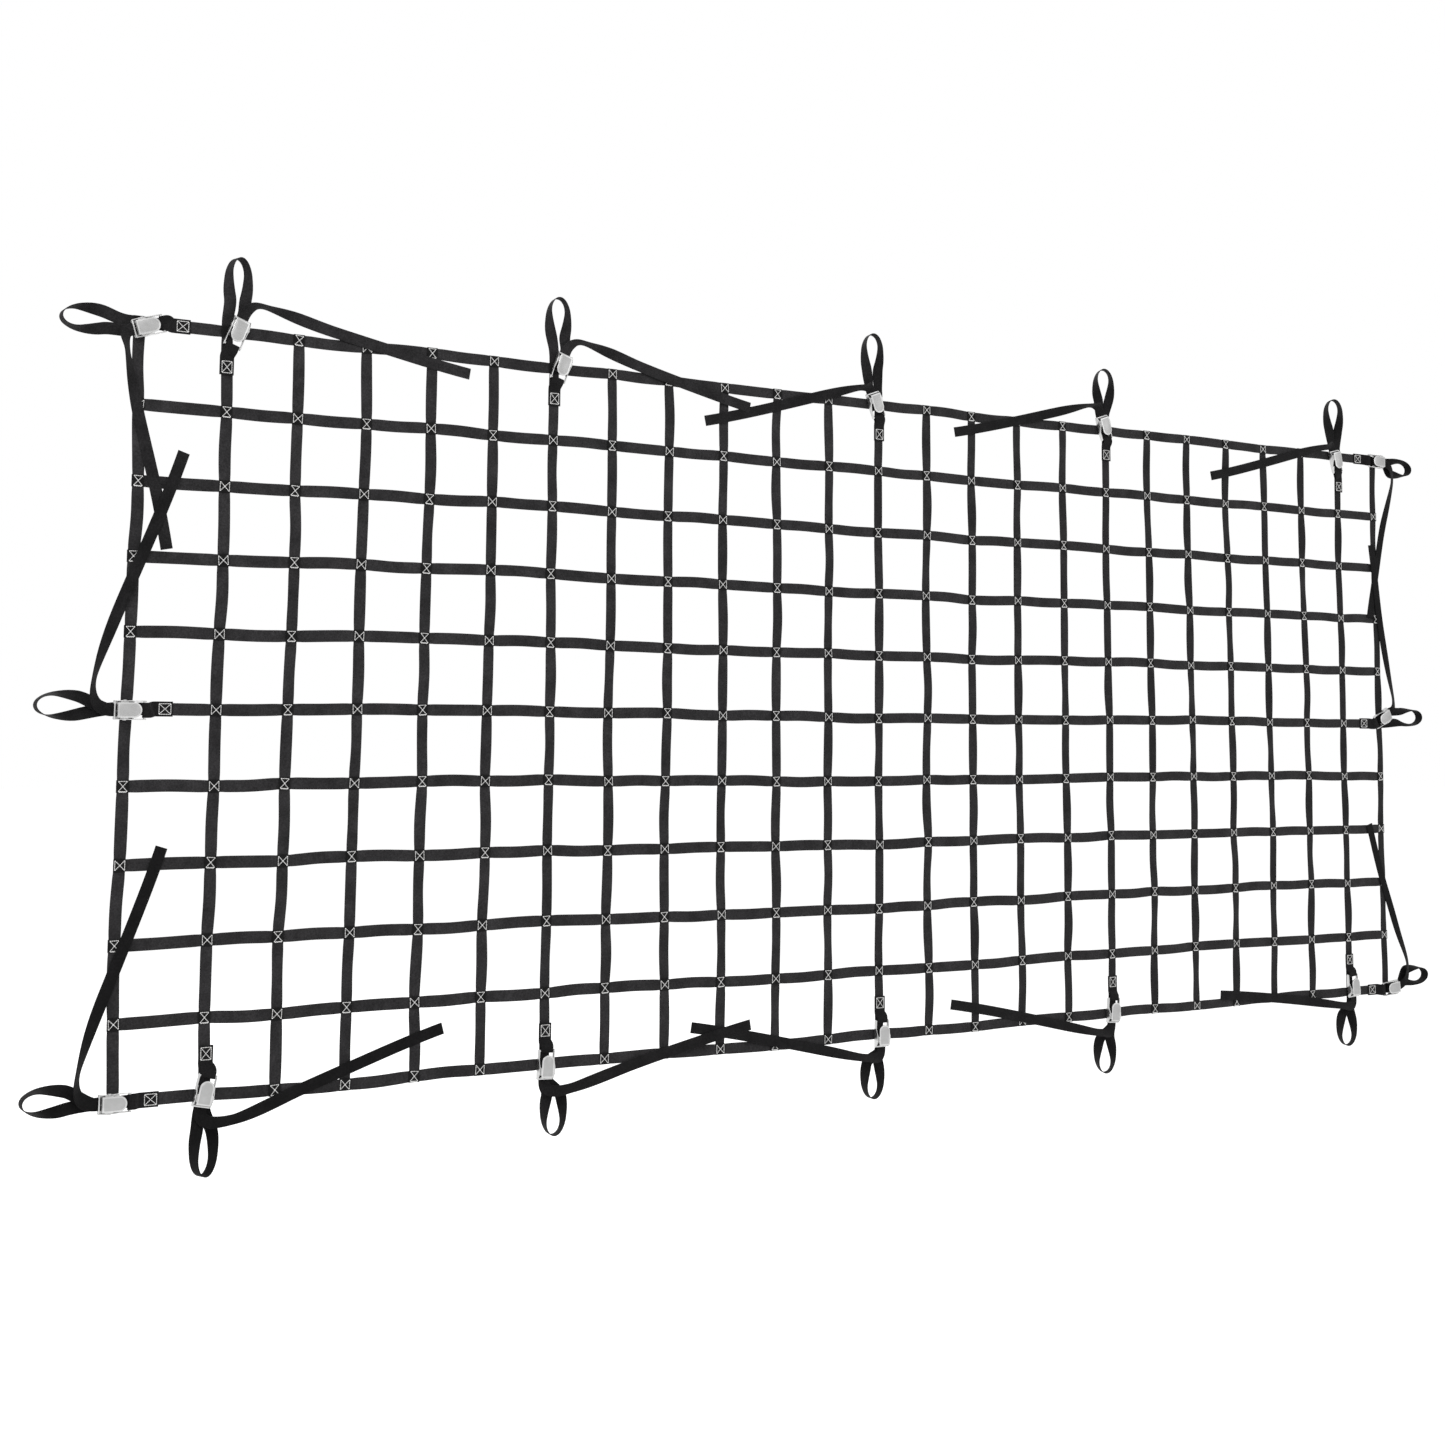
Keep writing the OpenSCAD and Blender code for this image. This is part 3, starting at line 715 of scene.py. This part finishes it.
def tab_stations(a):
    """From the sewn end out to the bar, round it and back to the sewn end."""
    start, end = a.mid[1] - tab_reach, a.mid[1] + patch_end
    top, low = a.patch_n + 1.5 * web_t, a.patch_n + 0.5 * web_t
    round_r = wrap_r - web_t / 2
    foot = a.along(bar_s - wrap_leg)
    curve = [np.array([0, end]), np.array([0, end + 6]), foot - 6 * a.lean_way, foot]
    patch_s = np.linspace(start, end, 9)
    patch = np.stack([np.zeros(9), patch_s], 1)
    t = np.linspace(0, 1, 12)[1:]
    free, way = bezier(curve, t), bezier_way(curve, t)
    leg = a.along(0) + np.linspace(bar_s - wrap_leg, bar_s, 4)[1:, None] * a.lean_way
    f = np.radians(np.linspace(0, 180, 16)[1:-1])
    nose = a.along(0) + (bar_s + round_r * np.sin(f))[:, None] * a.lean_way
    outer = [
        stations(patch, [0, 1], 0, top),
        stations(free, way, 0, top + (bar_n + round_r - top) * ease(t)),
        stations(leg, a.lean_way, 0, bar_n + round_r),
    ]
    inner = [
        stations(leg[::-1], -a.lean_way, 180, bar_n - round_r),
        stations(free[::-1], -way[::-1], 180, low + (bar_n - round_r - low) * ease(t[::-1])),
        stations(patch[::-1], [0, -1], 180, low),
    ]
    wrap = stations(nose, a.lean_way, 0, bar_n + round_r * np.cos(f))
    return join(outer + [wrap] + inner)


def make_tabs():
    for a in ANCHORS:
        points, widths = tab_stations(a)
        piece = ribbon(f"tab_{a.name}", a.place(points), a.turn(widths), tab_w * MM, WEB_T, LOOP_WEBBING)
        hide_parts("buckle_tabs")
        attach(piece, "net")


# ---------------------------------------------------------------- stitches

STITCH, STITCH_GAP, THREAD_R = 3.2 * MM, 0.35 * MM, 0.85 * MM
THREAD_SIDES = 5


class Stitches:
    """Collects single stitches: short threads that rise out of the webbing and dip back into it."""

    def __init__(self):
        self.points, self.faces = [], []

    def stitch(self, start, end, out):
        way = unit(end - start)
        side = np.cross(way, out)
        first = len(self.points)
        for t, lift, r in ((0, -0.45, 0.55), (0.2, 0.25, 1), (0.8, 0.25, 1), (1, -0.45, 0.55)):
            middle_point = start + (end - start) * t + out * (lift * THREAD_R)
            for k in range(THREAD_SIDES):
                f = 2 * math.pi * k / THREAD_SIDES
                round_way = side * math.cos(f) + out * math.sin(f)
                self.points.append(middle_point + THREAD_R * r * round_way)
        n = THREAD_SIDES
        for ring in range(3):
            base = first + ring * n
            for k in range(n):
                after = (k + 1) % n
                self.faces.append([base + after, base + k, base + n + k, base + n + after])
        self.faces.append([first + k for k in range(n)])
        self.faces.append([first + 3 * n + k for k in range(n)][::-1])

    def seam(self, start, end, out):
        """A straight seam of whole stitches."""
        length = np.linalg.norm(end - start)
        count = max(1, round(length / (STITCH + STITCH_GAP)))
        gap = STITCH_GAP / (STITCH + STITCH_GAP) / 2
        for k in range(count):
            a, b = (k + gap) / count, (k + 1 - gap) / count
            self.stitch(start + (end - start) * a, start + (end - start) * b, out)

    def finish(self, name, *nodes):
        piece = new_piece(name, self.points, self.faces, THREAD)
        if nodes:
            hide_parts(*nodes)
        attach(piece, "net")


# Seams of a crossing as corner pairs, in half widths and half heights
CROSS = [((-1, -1), (1, 1)), ((-1, 1), (1, -1))]
ENDS = [((-1, 1), (1, 1)), ((-1, -1), (1, -1))]
SIDES = [((-1, -1), (-1, 1)), ((1, -1), (1, 1))]
HOURGLASS = CROSS + ENDS + [((-0.85, -1.1), (0.85, -1.1))]
BOW_TIE = CROSS + SIDES
BOX = CROSS + SIDES + ENDS
HOURGLASS_SIZE, BOW_TIE_SIZE = (9 * MM, 10 * MM), (9.8 * MM, 9.8 * MM)


def sew(stitches, seams, half, origin, right, up, out):
    for start, end in seams:
        a, b = (origin + right * (x * half[0]) + up * (z * half[1]) for x, z in (start, end))
        stitches.seam(a, b, out)


def make_stitches():
    front, back = np.array([0.0, -1.0, 0.0]), np.array([0.0, 1.0, 0.0])
    for j in range(ROWS):
        stitches = Stitches()
        for i in range(COLUMNS):
            bow = is_bow_tie(i, j)
            half = BOW_TIE_SIZE if bow else HOURGLASS_SIZE
            turn = math.radians(4) * JITTER[i, j, 2]
            right = np.array([math.cos(turn), 0, math.sin(turn)])
            up = np.array([-math.sin(turn), 0, math.cos(turn)])
            x, z = CROSSING[i, j]
            seams = BOW_TIE if bow else HOURGLASS
            if (i, j) not in ANCHORED:
                sew(stitches, seams, half, np.array([x, 0, z]), right, up, front)
            sew(stitches, seams, half, np.array([x, 2 * WEB_T, z]), right, up, back)
        stitches.finish(f"crossing_stitches_{j:02d}")


def make_tab_seams():
    stitches = Stitches()
    half = (10.5 * MM, (seam_to - seam_from) / 2 * MM)
    for a in ANCHORS:
        right, out, up = a.turn(np.eye(3) * [1, -1, 1])
        for n, way in ((a.patch_n + 2 * web_t, 1), (-2 * web_t, -1)):
            origin = a.place([[0, -n, a.mid[1] + (seam_from + seam_to) / 2]])[0]
            sew(stitches, BOX, half, origin, right, up, out * way)
    stitches.finish("tab_stitches", "tab_seams")


# ---------------------------------------------------------------- buckles


def inset(outline, d):
    """An outline moved inwards by d, with mitred corners."""
    p = np.asarray(outline, float)
    before, after = p - np.roll(p, 1, 0), np.roll(p, -1, 0) - p
    normal_a = unit(np.stack([-before[:, 1], before[:, 0]], 1))
    normal_b = unit(np.stack([-after[:, 1], after[:, 0]], 1))
    mitre = normal_a + normal_b
    return p + d * mitre / np.maximum(1 + (normal_a * normal_b).sum(1, keepdims=True), 0.5)


class Solid:
    """Collects plates and bars, with rounded edges, of one sheet-metal part."""

    def __init__(self):
        self.points, self.faces, self.kinds = [], [], []

    def plate(self, outline, low, high, place, edge=0.4, kind=0):
        """An outline, counter-clockwise, from low to high. place puts [u, v, height] in a list, and
        kind is 1 for the duller, brushed metal."""
        outline = np.asarray(outline, float)
        (u, v), (after_u, after_v) = outline.T, np.roll(outline, -1, axis=0).T
        if np.sum(u * after_v - after_u * v) < 0:
            outline = outline[::-1]
        rounding = [(edge, 0), (edge * 0.29, edge * 0.29), (0, edge)]
        rings = [(d, low + h) for d, h in rounding] + [(d, high - h) for d, h in rounding[::-1]]
        n, first = len(outline), len(self.points)
        for d, height in rings:
            ring = inset(outline, d)
            self.points.extend(place(np.column_stack([ring, np.full(n, height)])))
        for r in range(len(rings) - 1):
            base = first + r * n
            for k in range(n):
                after = (k + 1) % n
                self.faces.append([base + k, base + after, base + n + after, base + n + k])
        top = first + (len(rings) - 1) * n
        self.faces.append([first + k for k in range(n)][::-1])
        self.faces.append([top + k for k in range(n)])
        self.kinds += [kind] * (len(self.faces) - len(self.kinds))

    def finish(self, name, body, node):
        piece = new_piece(name, self.points, self.faces, BUCKLE_METAL, smooth=False)
        mesh = piece.data
        if any(self.kinds):
            mesh.materials.append(PLATE_METAL)
            mesh.polygons.foreach_set("material_index", self.kinds)
        bm = bmesh.new()
        bm.from_mesh(mesh)
        bmesh.ops.recalc_face_normals(bm, faces=bm.faces)
        bm.to_mesh(mesh)
        bm.free()
        mesh.polygons.foreach_set("use_smooth", [True] * len(mesh.polygons))
        mesh.set_sharp_from_angle(angle=math.radians(50))
        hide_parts(node)
        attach(piece, body)


def arc(cx, cy, r, start, end, count):
    f = np.radians(np.linspace(start, end, count))
    return np.stack([cx + r * np.cos(f), cy + r * np.sin(f)], 1)


def rounded(left, low, right, high, r, count=5):
    """A rectangle with round corners."""
    return np.concatenate([
        arc(right - r, low + r, r, -90, 0, count), arc(right - r, high - r, r, 0, 90, count),
        arc(left + r, high - r, r, 90, 180, count), arc(left + r, low + r, r, 180, 270, count),
    ])


def thumb_outline(margin, corner):
    """The thumb plate's outline as [sideways, along]: square at the loop's end, round at the other."""
    r = lever_w / 2 - margin
    front = pivot_s + lever_front - margin
    back = pivot_s + lever_front - lever_l + lever_w / 2
    return np.concatenate([
        arc(r - corner, front - corner, corner, 0, 90, 5),
        arc(corner - r, front - corner, corner, 90, 180, 5),
        arc(0, back, r, 180, 360, 25),
    ])


def cam_outline():
    """The cam's side as [along, out of the net]: hub, heel and a toothed foot facing the strap."""
    tooth, pitch, teeth = 0.5, 1.9, 4
    foot = [(0, tooth - cam_drop)]
    for k in range(teeth):
        foot += [((k + 0.3) * pitch, -cam_drop), ((k + 1) * pitch, tooth - cam_drop)]
    heel = plate_n - pivot_n + 0.5
    toe = teeth * pitch + 2
    hub = arc(0, 0, cam_drop - tooth, 180, 262, 9)
    block = [(toe, 0), (toe, heel), (tooth - cam_drop, heel)]
    return np.array(foot + block + hub.tolist()) + [pivot_s, pivot_n]


def wall_outline():
    """A frame wall as [along, out of the net]: a rail back to the bar and a taller ear at the pivot."""
    ear = arc(pivot_s, wall_top - 5, 9, 25, 150, 9)
    front = [
        (front_s - 1.5, base_n), (front_s, base_n + 1.5),
        (front_s, front_bar_n + 2.4), (front_s - 1.2, front_bar_n + 3.4),
    ]
    back = [(base_in, bar_n + rail)]
    ear[:, 1] = np.minimum(ear[:, 1], wall_top)
    nose = arc(bar_s, bar_n, rail, 90, 250, 12)
    return np.concatenate([front, ear, back, nose, [(base_in, base_n)]])


def sideways_place(a):
    return lambda p: a.on_buckle(p[:, [2, 0, 1]])


def outward_place(a):
    return lambda p: a.on_buckle(p)


def make_frames():
    solid = Solid()
    for a in ANCHORS:
        side, out = sideways_place(a), outward_place(a)
        for low in (-frame_w / 2, inner_w / 2):
            solid.plate(wall_outline(), low, low + sheet_t, side, 0.45)
        half = frame_w / 2 - 0.3
        solid.plate(rounded(-half, base_in, half, front_s, 1.5), base_n, base_top, out)
        width = inner_w / 2 + 0.8
        bar = rounded(front_s - front_bar, front_bar_n, front_s - 0.2, front_bar_n + front_bar_h, 1)
        solid.plate(bar, -width, width, side, 0.2)
        solid.plate(arc(bar_s, bar_n, bar_r, 0, 345, 24), -width, width, side, 0.2)
    solid.finish("buckle_frames_detailed", "net", "buckle_frames")


def make_lever(a):
    solid = Solid()
    side, out = sideways_place(a), outward_place(a)
    top = plate_n + sheet_t
    solid.plate(thumb_outline(0, 1.5), plate_n, top, out, 0.6)
    solid.plate(thumb_outline(3.4, 1.2), top - 0.3, top + 0.55, out, 0.5, kind=1)
    for low, high in ((-cam_w / 2, -slot_w / 2), (slot_w / 2, cam_w / 2)):
        solid.plate(cam_outline(), low, high, side, 0.12)
    half, front = lever_w / 2, pivot_s + lever_front
    lip = rounded(front - sheet_t, pivot_n - 1.5, front, top - 0.2, 0.6, 3)
    solid.plate(lip, -half + 0.3, half - 0.3, side, 0.3)
    solid.finish(f"lever_{a.name}_detailed", f"lever_{a.name}", f"cam_lever_{a.name}")


def finish_small_metal():
    """The pins and springs stay as CAD made them, in metal."""
    for node, material in (("pivot_pins", BUCKLE_METAL), ("cam_springs", SPRING_STEEL)):
        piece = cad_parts[node]
        piece.data.materials.clear()
        piece.data.materials.append(material)


# ---------------------------------------------------------------- surroundings


def seen_directly(nodes, links):
    """1 for camera, glossy and transmission rays, which see the plain white surroundings."""
    path = nodes.new("ShaderNodeLightPath")
    total = None
    for key in ("Is Camera Ray", "Is Glossy Ray", "Is Transmission Ray"):
        if total is None:
            total = path.outputs[key]
            continue
        most = nodes.new("ShaderNodeMath")
        most.operation = "MAXIMUM"
        links.new(total, most.inputs[0])
        links.new(path.outputs[key], most.inputs[1])
        total = most.outputs[0]
    return total


WORLD_LIGHT = 0.62


def make_world():
    world = bpy.data.worlds.new("world")
    bpy.context.scene.world = world
    world.use_nodes = True
    nodes, links = world.node_tree.nodes, world.node_tree.links
    lit, seen = nodes["Background"], nodes.new("ShaderNodeBackground")
    lit.inputs["Color"].default_value = (1, 1, 1, 1)
    lit.inputs["Strength"].default_value = WORLD_LIGHT
    seen.inputs["Color"].default_value = (1, 1, 1, 1)
    seen.inputs["Strength"].default_value = 1.0
    mix = nodes.new("ShaderNodeMixShader")
    links.new(seen_directly(nodes, links), mix.inputs[0])
    links.new(lit.outputs[0], mix.inputs[1])
    links.new(seen.outputs[0], mix.inputs[2])
    links.new(mix.outputs[0], nodes["World Output"].inputs["Surface"])


FLOOR_DROP, FLOOR_HALF = 0.35, 40.0


def make_floor():
    """A plain white floor under the net. Seen directly it is white, and it still takes shadows."""
    z = cad_box[0].z - FLOOR_DROP
    h = FLOOR_HALF
    m = Nodes("floor")
    m.set(Base_Color=color(0.85), Roughness=0.9, Specular_IOR_Level=0.1)
    m.link(seen_directly(m.tree.nodes, m.tree.links), m.shader.inputs["Emission Strength"])
    m.shader.inputs["Emission Color"].default_value = color(0.5)
    corners = [(-h, -h, z), (h, -h, z), (h, h, z), (-h, h, z)]
    floor = new_piece("floor", corners, [[0, 1, 2, 3]], m.material, smooth=False)


def make_light(name, place, target, size, watts):
    data = bpy.data.lights.new(name, "AREA")
    data.shape = "SQUARE"
    data.size = size
    data.energy = watts
    lamp = bpy.data.objects.new(name, data)
    bpy.context.scene.collection.objects.link(lamp)
    lamp.location = place
    lamp.rotation_mode = "QUATERNION"
    lamp.rotation_quaternion = (Vector(target) - Vector(place)).to_track_quat("-Z", "Y")


def make_lights():
    centre = (cad_box[0] + cad_box[1]) / 2
    make_light("key", (-3.6, -3.4, 2.4), centre, 2.6, 110)
    make_light("fill", (3.2, -4.2, 0.6), centre, 3.0, 26)
    make_light("back", (0.5, 4.6, 1.6), centre, 3.0, 90)


# ---------------------------------------------------------------- scene

make_camera()
make_net()
make_loops()
make_tabs()
make_stitches()
make_tab_seams()
make_frames()
for anchor in ANCHORS:
    make_lever(anchor)
finish_small_metal()
make_world()
make_floor()
make_lights()
bpy.context.scene.view_settings.view_transform = "Standard"
